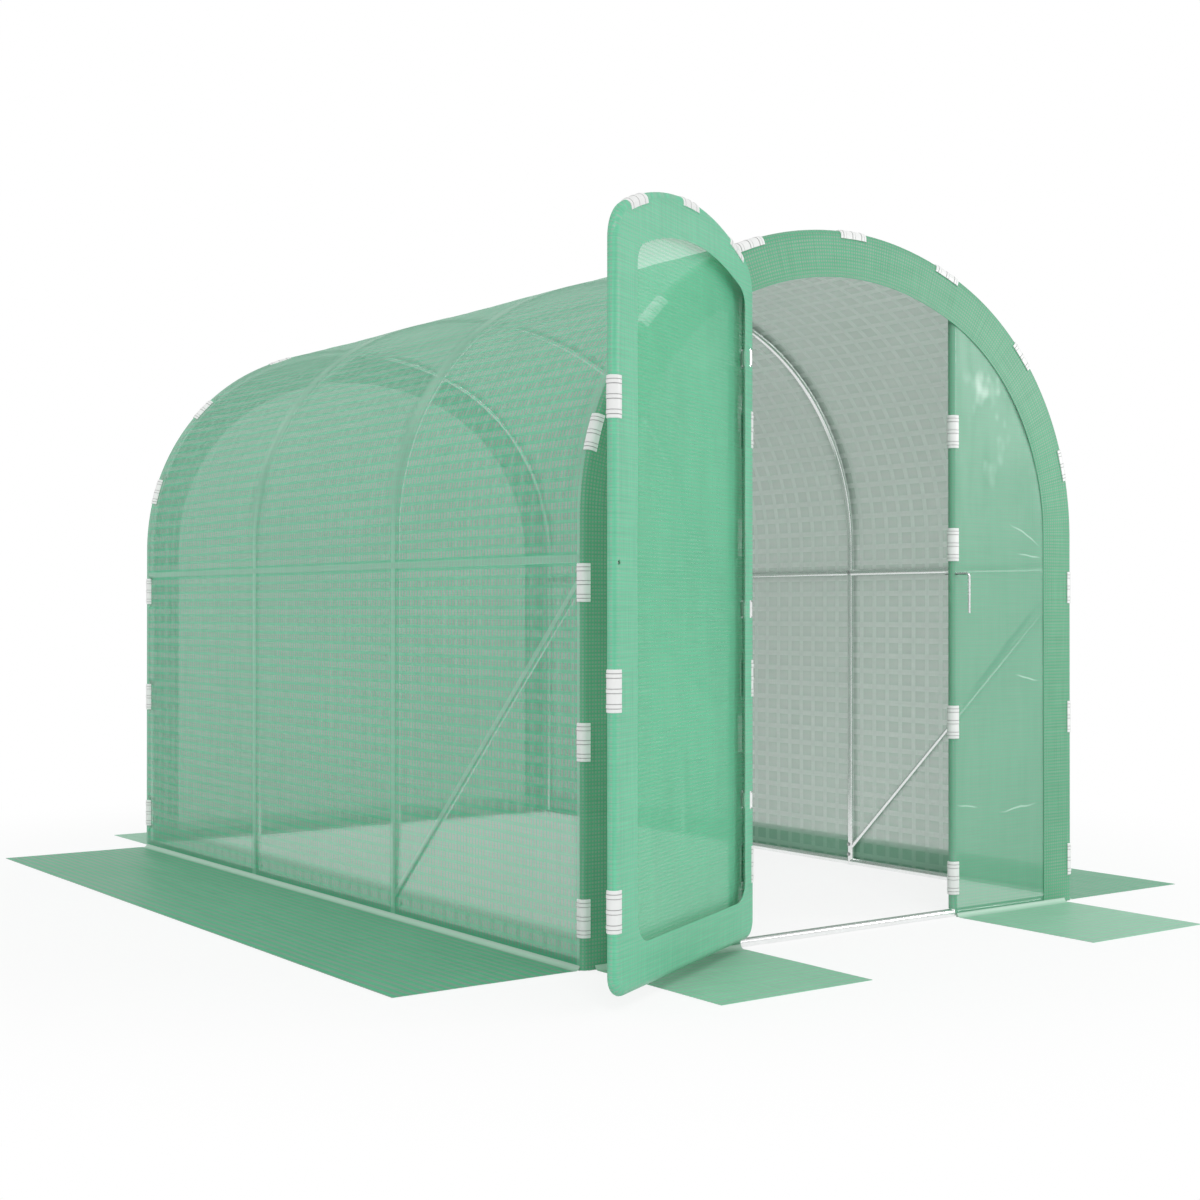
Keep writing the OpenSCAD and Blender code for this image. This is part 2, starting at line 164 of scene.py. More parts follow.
def ripple(a, b, seed):
    """Soft waves over a plane, from about -1 to 1."""
    total = 0.0
    for k in range(5):
        turn = 2.4 * k + seed
        wave = 5.0 + 4.3 * k
        phase = 1.7 * seed * (k + 1)
        total += math.sin(wave * (a * math.cos(turn) + b * math.sin(turn)) + phase) / (1 + 0.6 * k)
    return total / 2.4


# Objects and meshes


def link(name, mesh, *finishes):
    """New object at the origin, with its finishes."""
    obj = bpy.data.objects.new(name, mesh)
    bpy.context.scene.collection.objects.link(obj)
    for finish in finishes:
        mesh.materials.append(finish)
    return obj


def settle(obj, sharp=35):
    """Turns an object and its modifiers into a plain mesh, shaded smooth with crisp edges."""
    bpy.context.view_layer.update()
    made = bpy.data.meshes.new_from_object(obj.evaluated_get(bpy.context.evaluated_depsgraph_get()))
    obj.modifiers.clear()
    old = obj.data
    obj.data = made
    bpy.data.meshes.remove(old)
    made.name = obj.name
    made.polygons.foreach_set("use_smooth", [True] * len(made.polygons))
    made.set_sharp_from_angle(angle=math.radians(sharp))
    return obj


def drop(*objects):
    """Removes objects that only helped to make others."""
    for obj in objects:
        data = obj.data
        bpy.data.objects.remove(obj)
        bpy.data.meshes.remove(data)


def film_sheet(name, grid, outside, inside, ring=False, cutters=()):
    """Thin sheet under a grid of (place, (u, v)), one finish a face; ring joins its last and first rows."""
    rows, cols = len(grid), len(grid[0])
    mesh = bpy.data.meshes.new(name)
    places = [p for row in grid for p, _ in row]
    faces = []
    for i in range(rows if ring else rows - 1):
        for j in range(cols - 1):
            k = (i + 1) % rows
            faces.append((i * cols + j, k * cols + j, k * cols + j + 1, i * cols + j + 1))
    mesh.from_pydata(places, [], faces)
    flat = [uv for row in grid for _, uv in row]
    layer = mesh.uv_layers.new(name="cut")
    for face in mesh.polygons:
        for loop, vertex in zip(face.loop_indices, face.vertices):
            layer.data[loop].uv = flat[vertex]
    obj = link(name, mesh, outside, inside)
    solid = obj.modifiers.new("film", "SOLIDIFY")
    solid.thickness, solid.offset = FILM_T, -1.0
    solid.use_quality_normals = True
    solid.material_offset = 1
    for cutter in cutters:
        cut = obj.modifiers.new("hole", "BOOLEAN")
        cut.operation, cut.solver, cut.object = "DIFFERENCE", "EXACT", cutter
    return settle(obj)


def sheet_area(piece):
    """Area of one face of a thin sheet."""
    return sum(face.area for face in piece.data.polygons) / 2


def lay(piece, body, nodes, **sheet):
    """Attaches a film to what it moves with and hides the nodes it stands for; the sheet entries on how it
    is held are not used.
    """
    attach(piece, body)
    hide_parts(*nodes)


def mark(mesh, label, data):
    """Gives each point of a mesh a number or a vector."""
    if isinstance(data[0], float):
        mesh.attributes.new(label, "FLOAT", "POINT").data.foreach_set("value", data)
    else:
        flat = [x for vector in data for x in vector]
        mesh.attributes.new(label, "FLOAT_VECTOR", "POINT").data.foreach_set("vector", flat)


def cutter(outline, reach, place):
    """Block along y, with an outline of (x, z), that cuts a hole; a function puts it in place."""
    n = len(outline)
    ends = [place((x, y, z)) for y in (-reach, reach) for x, z in outline]
    around = [(i, n + i, n + (i + 1) % n, (i + 1) % n) for i in range(n)]
    caps = [tuple(range(n)), tuple(range(2 * n - 1, n - 1, -1))]
    mesh = bpy.data.meshes.new("cutter")
    mesh.from_pydata(ends, [], around + caps)
    return link("cutter", mesh)


def pin_hole(gap, sides=24):
    """Outline of a hole for the latch pin."""
    turns = [2 * math.pi * i / sides for i in range(sides)]
    radius = PIN_R + gap
    return [(POST_X + radius * math.cos(a), LATCH_H + radius * math.sin(a)) for a in turns]


# Node trees


class Value:
    """What a socket carries through a node tree; arithmetic adds Math nodes."""

    def __init__(self, graph, socket):
        self.graph, self.socket = graph, socket

    def math(self, operation, *others):
        return self.graph.add("ShaderNodeMath", dict(enumerate((self, *others))), operation=operation)

    def __add__(self, other):
        return self.math("ADD", other)

    def __mul__(self, other):
        return self.math("MULTIPLY", other)

    def __sub__(self, other):
        return self.math("SUBTRACT", other)

    def __rsub__(self, other):
        return self.graph.add("ShaderNodeMath", {0: other, 1: self}, operation="SUBTRACT")

    def __abs__(self):
        return self.math("ABSOLUTE")

    __radd__, __rmul__ = __add__, __mul__

    def rise(self, low, high):
        """Smooth step from 0 at low to 1 at high."""
        sockets = {"Value": self, "From Min": low, "From Max": high}
        return self.graph.add("ShaderNodeMapRange", sockets, interpolation_type="SMOOTHSTEP")

    def fall(self, low, high):
        """Smooth step from 1 at low to 0 at high."""
        return 1 - self.rise(low, high)

    def near(self, place, reach, soft):
        """1 within reach of a place, and 0 past a soft edge."""
        return abs(self - place).fall(reach, reach + soft)

    def every(self, period, share, soft):
        """1 on a share of each period, with soft edges."""
        edge = period * share / 2
        return self.math("PINGPONG", period / 2).fall(edge - soft / 2, edge + soft / 2)


class Graph:
    """A node tree and the way to add nodes to it."""

    def __init__(self, tree):
        self.tree, self.nodes, self.links = tree, tree.nodes, tree.links

    def add(self, kind, sockets=None, out=0, **settings):
        """Adds a node: its settings first, then values or links for its sockets."""
        node = self.nodes.new(kind)
        for key, value in settings.items():
            setattr(node, key, value)
        for key, value in (sockets or {}).items():
            self.plug(node.inputs[key], value)
        return Value(self, node.outputs[out])

    def plug(self, socket, value):
        if isinstance(value, Value):
            self.links.new(value.socket, socket)
        else:
            socket.default_value = value


class Paint(Graph):
    """A material with a Principled surface, and the nodes that drive it."""

    def __init__(self, name, **constants):
        self.material = bpy.data.materials.new(name)
        self.material.use_nodes = True
        super().__init__(self.material.node_tree)
        self.surface = self.nodes["Principled BSDF"]
        self.drive(**constants)

    def drive(self, **sockets):
        """Sets or links the surface's sockets, and returns the material."""
        for socket, value in sockets.items():
            self.plug(self.surface.inputs[socket.replace("_", " ")], value)
        return self.material

    def mix(self, share, a, b):
        """Colour from a at share 0 to b at share 1."""
        a, b = ((*c, 1.0) if isinstance(c, tuple) and len(c) == 3 else c for c in (a, b))
        return self.add("ShaderNodeMix", {0: share, 6: a, 7: b}, out=2, data_type="RGBA")

    def part(self, vector, axis):
        """One coordinate of a vector."""
        return self.add("ShaderNodeSeparateXYZ", {0: vector}, axis)

    def cut_lines(self):
        """Runs along and across the cut sheet, in metres, and both in one vector."""
        cut = self.add("ShaderNodeUVMap", uv_map="cut")
        return self.part(cut, 0), self.part(cut, 1), cut

    def places(self):
        """Places on the piece, in metres."""
        return self.add("ShaderNodeTexCoord", out=3)

    def stretch(self, vector, scale):
        return self.add("ShaderNodeVectorMath", {0: vector, 1: scale}, operation="MULTIPLY")

    def noise(self, vector, scale, detail=2.0, rough=0.5):
        sockets = {"Vector": vector, "Scale": scale, "Detail": detail, "Roughness": rough}
        return self.add("ShaderNodeTexNoise", sockets)

    def bump(self, height, strength, distance):
        sockets = {"Height": height, "Strength": strength, "Distance": distance}
        return self.add("ShaderNodeBump", sockets)


# Finishes

# Thread and gap colours of each film
COVER_COLOURS = (0.080, 0.610, 0.330), (0.345, 0.405, 0.350)
INSIDE_COLOURS = (0.800, 0.880, 0.820), (0.470, 0.540, 0.490)
BAND_COLOURS = (0.105, 0.435, 0.240), (0.340, 0.410, 0.340)
PANEL_COLOURS = (0.165, 0.530, 0.325), (0.310, 0.500, 0.385)
DOOR_COLOURS = (0.150, 0.740, 0.430), (0.410, 0.720, 0.530)
HEM_COLOURS = (0.175, 0.650, 0.400), (0.380, 0.620, 0.480)
SIDE_SKIRT_COLOURS = (0.100, 0.485, 0.265), (0.310, 0.370, 0.330)
END_SKIRT_COLOURS = (0.290, 0.675, 0.450), (0.450, 0.595, 0.515)

# Weaves: the size of a cell along and across, and the share of it that is open
COVER_WEAVE = (0.0285, 0.0165), (0.64, 0.50)
INSIDE_WEAVE = (0.0570, 0.0660), (0.68, 0.70)
FINE_WEAVE = (0.0100, 0.0100), (0.52, 0.52)
SKIRT_WEAVE = (0.0165, 0.0285), (0.80, 0.50)
WEAVE_SOFT = 0.0024

# Colours painted over the films and the pin, most of them painted light and shade
TUBE_SIDE_SHADE, TUBE_LINE_HIGHLIGHT = (0.050, 0.300, 0.165), (0.400, 0.700, 0.540)
ROOF_BAND_LIGHT, ROOF_HOOP_SHADE = (0.420, 0.600, 0.490), (0.060, 0.350, 0.200)
COVER_FOOT, INSIDE_FOOT, SKIRT_TURN_HIGHLIGHT = (0.070, 0.280, 0.160), (0.110, 0.400, 0.240), (0.480, 0.640, 0.540)
BRACE_SHADE, CLOUDY_HIGHLIGHT = (0.080, 0.330, 0.200), (0.720, 0.900, 0.800)
CREASE_HIGHLIGHT, UNDERSIDE_SHADE = (0.680, 0.880, 0.770), (0.045, 0.060, 0.052)

# Lines painted on the end panels, the brace's painted shade and the creases' painted highlights: (up,
# across, slope in degrees, half length)
PANEL_BRACE = (0.8125, 0.305, -41.5, 0.290)
PANEL_CREASES = (
    (1.190, 0.200, 25, 0.085),
    (0.340, 0.470, 8, 0.055),
    (0.320, 0.235, -6, 0.095),
    (1.120, 0.180, 3, 0.060),
    (0.730, 0.190, 8, 0.060),
)


def shade(colour, share):
    """Colour made darker or lighter, up to white."""
    return tuple(min(c * share, 1.0) for c in colour)


def film_face(
    name, colours, weave, solid, open_share, shine=0.38, creases=0.3, crumple=0.0, grain=1.0, touches=None
):
    """Woven film: threads round paler gaps, with fine yarn, cloudy tone, creases and a soft shine.

    solid is its alpha, and open_share how much less of it there is in the gaps.
    """
    (thread, gap), (cell, fill) = colours, weave
    paint = Paint(name, IOR=1.46)
    u, v, cut = paint.cut_lines()
    squares = u.every(cell[0], fill[0], WEAVE_SOFT) * v.every(cell[1], fill[1], WEAVE_SOFT)
    warp = paint.noise(paint.stretch(cut, (330.0, 6.0, 1.0)), 1.0, 0.0)
    weft = paint.noise(paint.stretch(cut, (6.0, 330.0, 1.0)), 1.0, 0.0)
    yarn = 0.5 + ((warp + weft) * 0.5 - 0.5) * grain
    cloud = paint.noise(cut, 2.2, 1.0)
    tone = cloud * 0.35 + yarn * 0.65
    bright = tuple(min(c * 1.22 + 0.01, 1.0) for c in thread)
    colour = paint.mix(tone, shade(thread, 0.72), bright)
    colour = paint.mix(squares * (0.30 + 0.75 * yarn + 0.35 * cloud), colour, gap)
    alpha = solid - squares * open_share + (yarn - 0.5) * 0.12
    if touches:
        colour, alpha = touches(paint, u, v, cut, colour, alpha)
    relief = paint.noise(paint.stretch(cut, (2.6, 9.0, 1.0)), 1.3, 1.0)
    if crumple:
        sockets = {"Scale": 3.1, "Detail": 1.0, "Offset": 0.9, "Gain": 1.6}
        sockets["Vector"] = paint.stretch(cut, (1.0, 1.7, 1.0))
        sharp = paint.add("ShaderNodeTexNoise", sockets, noise_type="RIDGED_MULTIFRACTAL")
        relief = relief + sharp * crumple
    return paint.drive(
        Base_Color=colour,
        Alpha=alpha,
        Roughness=shine + cloud * 0.16 - squares * 0.05,
        Normal=paint.bump(relief, creases, 0.02),
    )


def cover_touches(paint, u, v, cut, colour, alpha):
    """Tubes under the cover, in painted light and shade: pale lines of painted highlight with painted shade
    at their sides on the walls, and on the roof pale bands of painted light over the hoops with broken
    streaks of painted shade along them.
    """
    hoops = v.math("PINGPONG", BAY / 2)
    across = u.math("PINGPONG", HOOP.half_run)
    on_wall = across.fall(1.12, 1.42)
    line = hoops.fall(0.010, 0.015) * on_wall
    side = hoops.fall(0.015, 0.022) * on_wall
    rails = across.near(WAIST_H, 0.006, 0.007)
    rail_sides = across.near(WAIST_H, 0.012, 0.010)
    slope = (BRACE_TOP - BRACE_FOOT) / BAY
    away = (across + v * slope - BRACE_TOP) * (1 / math.hypot(1, slope))
    in_bay = v.fall(BAY - 0.02, BAY) * across.fall(BRACE_TOP, BRACE_TOP + 0.02)
    brace = abs(away).fall(0.006, 0.010) * in_bay
    light = line.math("MAXIMUM", rails).math("MAXIMUM", brace)
    dark = side.math("MAXIMUM", rail_sides)
    # Painted shade beside the tubes and the waist rail, and painted highlight along the tubes, the rail and
    # the brace where they lie under the film
    colour = paint.mix(dark * 0.14, colour, TUBE_SIDE_SHADE)
    colour = paint.mix(light * 0.55, colour, TUBE_LINE_HIGHLIGHT)
    # Roof: broken streaks of painted shade along the hoops
    drift = (paint.noise(cut, 3.4, 0.0) - 0.5) * 0.11
    on_roof = 1 - on_wall
    broken = on_roof * paint.noise(paint.stretch(cut, (2.6, 4.0, 1.0)), 1.0, 1.0).rise(0.34, 0.62)
    hoop_shade = abs(hoops + drift).fall(0.004, 0.060) * broken
    # Roof: paler, more opaque film over the hoops, painted light standing in for the light that comes
    # through the film beside them
    over_hoop = hoops.fall(0.012, 0.060) * on_roof
    colour = paint.mix(over_hoop * 0.55, colour, ROOF_BAND_LIGHT)
    colour = paint.mix(hoop_shade * 0.40, colour, ROOF_HOOP_SHADE)
    foot = across.fall(0.028, 0.034)
    colour = paint.mix(foot * 0.5, colour, COVER_FOOT)
    return colour, alpha + dark * 0.12 + light * 0.08 + foot * 0.2 + over_hoop * 0.28


def inside_touches(paint, u, v, cut, colour, alpha):
    """Green foot of the film, where the skirt outside shows through."""
    foot = u.math("PINGPONG", HOOP.half_run).fall(0.075, 0.110)
    colour = paint.mix(foot * 0.70, colour, INSIDE_FOOT)
    return colour, alpha + foot * 0.25


def skirt_touches(paint, u, v, cut, colour, alpha):
    """Painted highlight: a pale line where the skirt turns up against the wall."""
    turned = v.fall(0.020, 0.032)
    # Painted highlight on the turned-up edge of the skirt
    colour = paint.mix(turned * 0.75, colour, SKIRT_TURN_HIGHLIGHT)
    return colour, alpha + turned * 0.2


def stroke(u, v, line, wide, soft, drift):
    """1 along a short line on the sheet, bent by drift: (u, v, slope in degrees, half length)."""
    up, across, angle, half = line
    turn = math.radians(angle)
    along = (u - up) * math.sin(turn) + (v - across) * math.cos(turn)
    off = (u - up) * math.cos(turn) - (v - across) * math.sin(turn) + drift
    return abs(along).fall(half * 0.3, half) * abs(off).fall(wide, wide + soft)


def panel_touches(paint, u, v, cut, colour, alpha):
    """End panels: painted shade of the brace behind as a dark line, a cloudy painted highlight high up and
    short creases with painted pale highlights.
    """
    drift = (paint.noise(cut, 11.0, 1.0) - 0.5) * 0.024
    # Painted shade of the brace behind the film
    brace = stroke(u, v, PANEL_BRACE, 0.004, 0.012, drift * 0.3)
    colour = paint.mix(brace * 0.40, colour, BRACE_SHADE)
    # Painted highlight: cloudy patches high up on the panel
    patch = paint.noise(paint.stretch(cut, (1.0, 1.5, 1.0)), 7.0, 2.0).rise(0.54, 0.74)
    shine = u.rise(1.22, 1.62) * v.rise(0.10, 0.26) * v.fall(0.40, 0.52) * patch
    colour = paint.mix(shine * 0.75, colour, CLOUDY_HIGHLIGHT)
    for line in PANEL_CREASES:
        crease = stroke(u, v, line, 0.0006, 0.0034, drift)
        # Painted highlight along each crease
        colour = paint.mix(crease * 0.60, colour, CREASE_HIGHLIGHT)
        alpha = alpha + crease * 0.15
    return colour, alpha + brace * 0.10 + shine * 0.25


def galvanised(name, base, rough, underside_shade=0.0):
    """Zinc-coated steel: soft spangle, dull patches and, at will, painted shade on the undersides."""
    paint = Paint(name, Metallic=1.0)
    where = paint.places()
    spangle = paint.add("ShaderNodeTexVoronoi", {"Vector": where, "Scale": 210.0}, out=1)
    cells = paint.add("ShaderNodeSeparateColor", {0: spangle})
    dull = paint.noise(where, 9.0, 3.0, 0.6)
    tone = cells * 0.25 + dull * 0.75
    colour = paint.mix(tone, shade(base, 0.88), shade(base, 1.12))
    if underside_shade:
        # Painted shade: darker where the surface faces down
        facing = paint.part(paint.add("ShaderNodeTexCoord", out=1), 2)
        colour = paint.mix(facing.fall(-0.55, 0.05) * underside_shade, colour, UNDERSIDE_SHADE)
    return paint.drive(
        Base_Color=colour,
        Roughness=rough + (dull - 0.5) * 0.14 + (cells - 0.5) * 0.03,
        Normal=paint.bump(cells, 0.015, 0.0002),
    )


def moulded(name, base):
    """White moulded plastic: a faint skin texture, slightly greyer patches and painted shade in the
    grooves.
    """
    paint = Paint(name, IOR=1.5)
    where = paint.places()
    patch = paint.noise(where, 6.0, 3.0)
    skin = paint.noise(where, 900.0, 2.0)
    colour = paint.mix(patch, shade(base, 0.93), base)
    # Painted shade at the bottom of the clip's grooves
    groove = paint.add("ShaderNodeAttribute", out=2, attribute_name="groove")
    colour = paint.mix(groove * 0.8, colour, shade(base, 0.42))
    return paint.drive(
        Base_Color=colour,
        Roughness=0.30 + patch * 0.14 + skin * 0.06,
        Normal=paint.bump(skin, 0.06, 0.0003),
    )


def thread_finish(name, base):
    """Twisted sewing thread."""
    paint = Paint(name)
    fibre = paint.noise(paint.places(), 1400.0, 2.0)
    return paint.drive(
        Base_Color=paint.mix(fibre, shade(base, 0.8), base),
        Roughness=0.62 + fibre * 0.2,
        Normal=paint.bump(fibre, 0.3, 0.0003),
    )


cover_out = film_face(
    "cover film outside", COVER_COLOURS, COVER_WEAVE, 0.57, 0.06, touches=cover_touches
)
film_inside = film_face(
    "film inside", INSIDE_COLOURS, INSIDE_WEAVE, 0.52, 0.10, creases=0.2, touches=inside_touches
)
band_film = film_face("doubled film", BAND_COLOURS, FINE_WEAVE, 0.90, 0.10)
panel_film = film_face(
    "end film", PANEL_COLOURS, FINE_WEAVE, 0.54, 0.08,
    shine=0.30, creases=0.5, crumple=0.10, grain=0.35, touches=panel_touches,
)
door_film = film_face(
    "door film", DOOR_COLOURS, FINE_WEAVE, 0.46, 0.10, shine=0.26, creases=0.35, crumple=0.06, grain=0.6
)
hem_film = film_face("door hem film", HEM_COLOURS, FINE_WEAVE, 0.80, 0.10)
side_skirt_film = film_face(
    "side skirt film", SIDE_SKIRT_COLOURS, SKIRT_WEAVE, 0.97, 0.06, touches=skirt_touches
)
end_skirt_film = film_face(
    "end skirt film", END_SKIRT_COLOURS, SKIRT_WEAVE, 0.92, 0.06, touches=skirt_touches
)
tube_zinc = galvanised("galvanised tube", (0.88, 0.90, 0.89), 0.22)
pin_zinc = galvanised("bright zinc", (0.90, 0.91, 0.92), 0.26, 0.85)
clip_white = moulded("white clip plastic", (0.84, 0.85, 0.84))
bolt_zinc = galvanised("bolt zinc", (0.52, 0.53, 0.53), 0.34)
seam_thread = thread_finish("seam thread", (0.300, 0.560, 0.420))


# Film


def cover_sink(s, v):
    """How far the cover hangs in between the hoops and rails, with soft creases across each bay."""
    bay = math.sin(math.pi * (v / BAY % 1.0))
    across = min(s, HOOP.run - s)
    if across < WAIST_H:
        held = math.sin(math.pi * ease(across, 0.020, WAIST_H - 0.012))
        return bay**0.7 * held * (0.0022 + 0.0011 * ripple(across * 1.3, v * 2.6, 1.9))
    held = ease(across, WAIST_H + 0.012, WAIST_H + 0.30)
    return bay**0.6 * held * (0.0030 + 0.0022 * ripple(s * 0.8, v * 2.4, 0.7))


def hoop_clip_runs():
    """Runs along an end hoop at which its clips sit."""
    runs = [*LEG_CLIPS] + [HOOP.leg + math.radians(a) * SHOULDER_R for a in SHOULDER_CLIPS]
    runs += [HOOP.run - s for s in runs]
    return runs + [HOOP.half_run + math.radians(a) * CROWN_R for a in CROWN_CLIPS]


def clip_dent(s, gap, clip_runs):
    """How far the clips draw the cover in round the back hoop, at a gap from the hoop's axis."""
    nearest = min(abs(s - run) for run in clip_runs)
    grip = 1 - ease(nearest, CLIP_L / 2 + 0.001, CLIP_L / 2 + DENT_FADE)
    round_tube = FILM_OUT - math.sqrt(max(FILM_OUT**2 - gap**2, 0.0))
    dent = grip * min(round_tube, DENT_DEPTH) * (1 - ease(gap, DENT_FLOOR, DENT_REACH))
    over_rail = abs(min(s, HOOP.run - s) - WAIST_H)
    if over_rail < TUBE_R:
        dent = min(dent, FILM_IN - math.sqrt(TUBE_R**2 - over_rail**2))
    return dent


def cover():
    """Walls and roof in one sheet over the hoops, drawn in by the clips of the back hoop."""
    clip_runs = hoop_clip_runs()
    edges = [run + side * (CLIP_L / 2 + gap) for run in clip_runs for side in (-1, 1) for gap in DENT_ROWS]
    runs = sorted(spread(0.0, HOOP.run, 0.026) + edges)
    gaps = spread(0.0, FILM_OUT, 0.0014) + spread(FILM_OUT, DENT_FLOOR, 0.002)[1:]
    gaps += spread(DENT_FLOOR, DENT_REACH, 0.009)[1:]
    ys = spread(Y_FRONT, Y_BACK - DENT_REACH, 0.032) + [Y_BACK - gap for gap in gaps[-2::-1]]
    grid = []
    for s in runs:
        x, z, out_x, out_z = HOOP.at(s)
        row = []
        for y in ys:
            reach = FILM_OUT - cover_sink(s, y - Y_FRONT) - clip_dent(s, Y_BACK - y, clip_runs)
            place = Vector((x + out_x * reach, y, max(z + out_z * reach, 0.0)))
            row.append((place, (s, y - Y_FRONT)))
        grid.append(row)
    piece = film_sheet("cover", grid, cover_out, film_inside)
    flat = (HOOP.run, Y_BACK - Y_FRONT)
    lay(piece, "frame", COVER_NODES, flat=flat, held="stretched", rests_on=HOOP_NODES)


def band_place(s, run, y, facing):
    """Place on a turned edge at run s of the arch and a run over the tube and down the face."""
    x, z, out_x, out_z = HOOP.at(s)
    if run <= QUARTER_TURN:
        a = run / FILM_OUT
        reach, ahead = FILM_OUT * math.cos(a), FILM_OUT * math.sin(a)
    else:
        down = run - QUARTER_TURN
        lift = ease(down, 0.02, 0.10) * (0.0008 + 0.0008 * ripple(s * 2.2, down * 5.0, 2.3 + facing))
        reach, ahead = -down, FILM_OUT + lift
    return Vector((x + out_x * reach, y + facing * ahead, z + out_z * reach))


def band(name, y, facing):
    """Edge of the cover, turned over an end hoop and down against the end panel."""
    runs = spread(0.0, QUARTER_TURN, 0.004) + spread(QUARTER_TURN, BAND_RUN, 0.015)[1:]
    runs = runs[::-1] if facing < 0 else runs
    legs = spread(GROUND_GAP, HOOP.run - GROUND_GAP, 0.024)
    grid = [[(band_place(s, run, y, facing), (s, run)) for run in runs] for s in legs]
    piece = film_sheet(name, grid, band_film, band_film)
    hoop = "front_hoop" if facing < 0 else "back_hoop"
    area = min(sheet_area(piece), HOOP.run * BAND_RUN)
    lay(piece, "frame", [name], flat=(HOOP.run, BAND_RUN), held="stretched", rests_on=[hoop], area=area)


def end_sink(x, z, seed, edge):
    """How far an end panel hangs in, in soft waves; edge is the distance to where it is held."""
    held = ease(edge, 0.0, 0.12) * ease(z, 0.03, 0.16)
    fan = ripple(x * 1.5 + z * 0.4, z * 0.9, seed)
    tight = ripple(x * 4.0 - z * 1.3, z * 2.2, seed + 1.1)
    return held * (0.0045 + 0.0030 * fan + 0.0012 * tight)


def front_panel(name, side, cutters=()):
    """End panel beside the doorway, turned round the door post."""
    outer = HALF_W - PANEL_INSET
    across = [outer - (outer - POST_X) * (1 - math.cos(math.pi / 2 * t)) for t in spread(0.0, 1.0, 0.028)]
    flat_run, half_turn = outer - POST_X, FILM_OUT * math.pi
    columns = [(x, None, 0.0, HOOP.height(x, PANEL_INSET) - PANEL_TOP_GAP, outer - x) for x in across]
    turns = spread(0.0, math.pi, 0.25)[1:]
    wrap = [(POST_X - FILM_OUT * math.sin(a), -FILM_OUT * math.cos(a), FILM_OUT * a) for a in turns]
    tail = spread(POST_X, POST_X + WRAP_TAIL, 0.010)[1:]
    wrap += [(x, FILM_OUT, half_turn + x - POST_X) for x in tail]
    for x, behind, run in wrap:
        high = HOOP.height(x, FILM_IN) - WRAP_TOP_GAP
        columns.append((x, Y_FRONT + POST_BACK + behind, WRAP_LOW, high, flat_run + run))
    grid = []
    for x, y, low, high, run in columns:
        row = []
        for t in spread(0.0, 1.0, 0.0125):
            z = low + (high - low) * t
            y_here = y
            if y is None:
                edge = min(x - POST_X - 0.02, outer - HELD_EDGE - x, high - HELD_EDGE - z)
                y_here = Y_FRONT - PANEL_FACE + end_sink(x, z, 0.4 + 0.9 * (side > 0), max(edge, 0.0))
            row.append((Vector((side * x, y_here, z)), (z, run)))
        grid.append(row)
    grid = grid if side < 0 else [row[::-1] for row in grid]
    piece = film_sheet(name, grid, panel_film, panel_film, cutters=cutters)
    flat = (flat_run + half_turn + WRAP_TAIL, HOOP.height(POST_X, PANEL_INSET))
    tubes = ["front_hoop", "threshold_rail"]
    lay(piece, "frame", [name], flat=flat, held="stretched", rests_on=tubes, area=sheet_area(piece))


def back_panel():
    """Closed end of the tunnel."""
    outer = HALF_W - PANEL_INSET
    grid = []
    for t in spread(-1.0, 1.0, 0.025):
        x = outer * math.sin(math.pi / 2 * t)
        high = HOOP.height(x, PANEL_INSET) - PANEL_TOP_GAP
        row = []
        for z in spread(0.0, high, high / 80):
            edge = min(outer - HELD_EDGE - abs(x), high - HELD_EDGE - z)
            y = Y_BACK + PANEL_FACE - end_sink(x, z, 2.9, max(edge, 0.0))
            row.append((Vector((x, y, z)), (z, x)))
        grid.append(row[::-1])
    piece = film_sheet("back_film", grid, panel_film, film_inside)
    flat, tubes = (2 * outer, PEAK - PANEL_INSET), ["back_hoop", "back_base_rail"]
    lay(piece, "frame", ["back_panel"], flat=flat, held="stretched", rests_on=tubes, area=sheet_area(piece))


def skirt(name, start, along, out, seed, rail, film):
    """Ground skirt: its inner edge stands up against the wall, the rest lies on the ground in low waves."""
    start, along, out = (Vector((*p, 0)) for p in (start, along, out))
    length, reach = along.length, out.length
    along, out = along / length, out / reach
    extra = SKIRT_TURN * TURN_SHARE
    grid = []
    for a in spread(0.0, length, 0.030):
        row = []
        inner = start + along * a
        for k in range(5):
            angle = math.pi / 2 * k / 4
            lift = Vector((0, 0, FILM_T + SKIRT_TURN * (1 - math.sin(angle))))
            row.append((inner + out * (SKIRT_TURN * (1 - math.cos(angle))) + lift, (a, SKIRT_TURN * angle)))
        for b in spread(SKIRT_TURN, reach, 0.028)[1:]:
            ends = ease(min(a, length - a), 0.0, 0.10) * ease(min(b, reach - b), 0.0, 0.08)
            wave = max(0.0016 + 0.0016 * ripple(a * 1.1, b * 1.9, seed), 0.0)
            lift = Vector((0, 0, FILM_T + wave * (0.25 + 0.75 * ends)))
            row.append((inner + out * b + lift, (a, b + extra)))
        grid.append(row)
    if along.cross(out).z < 0:
        grid = [row[::-1] for row in grid]
    piece = film_sheet(name + "_film", grid, film, film)
    lay(piece, "frame", [name], flat=(length, reach + extra), held="laid", rests_on=[rail])


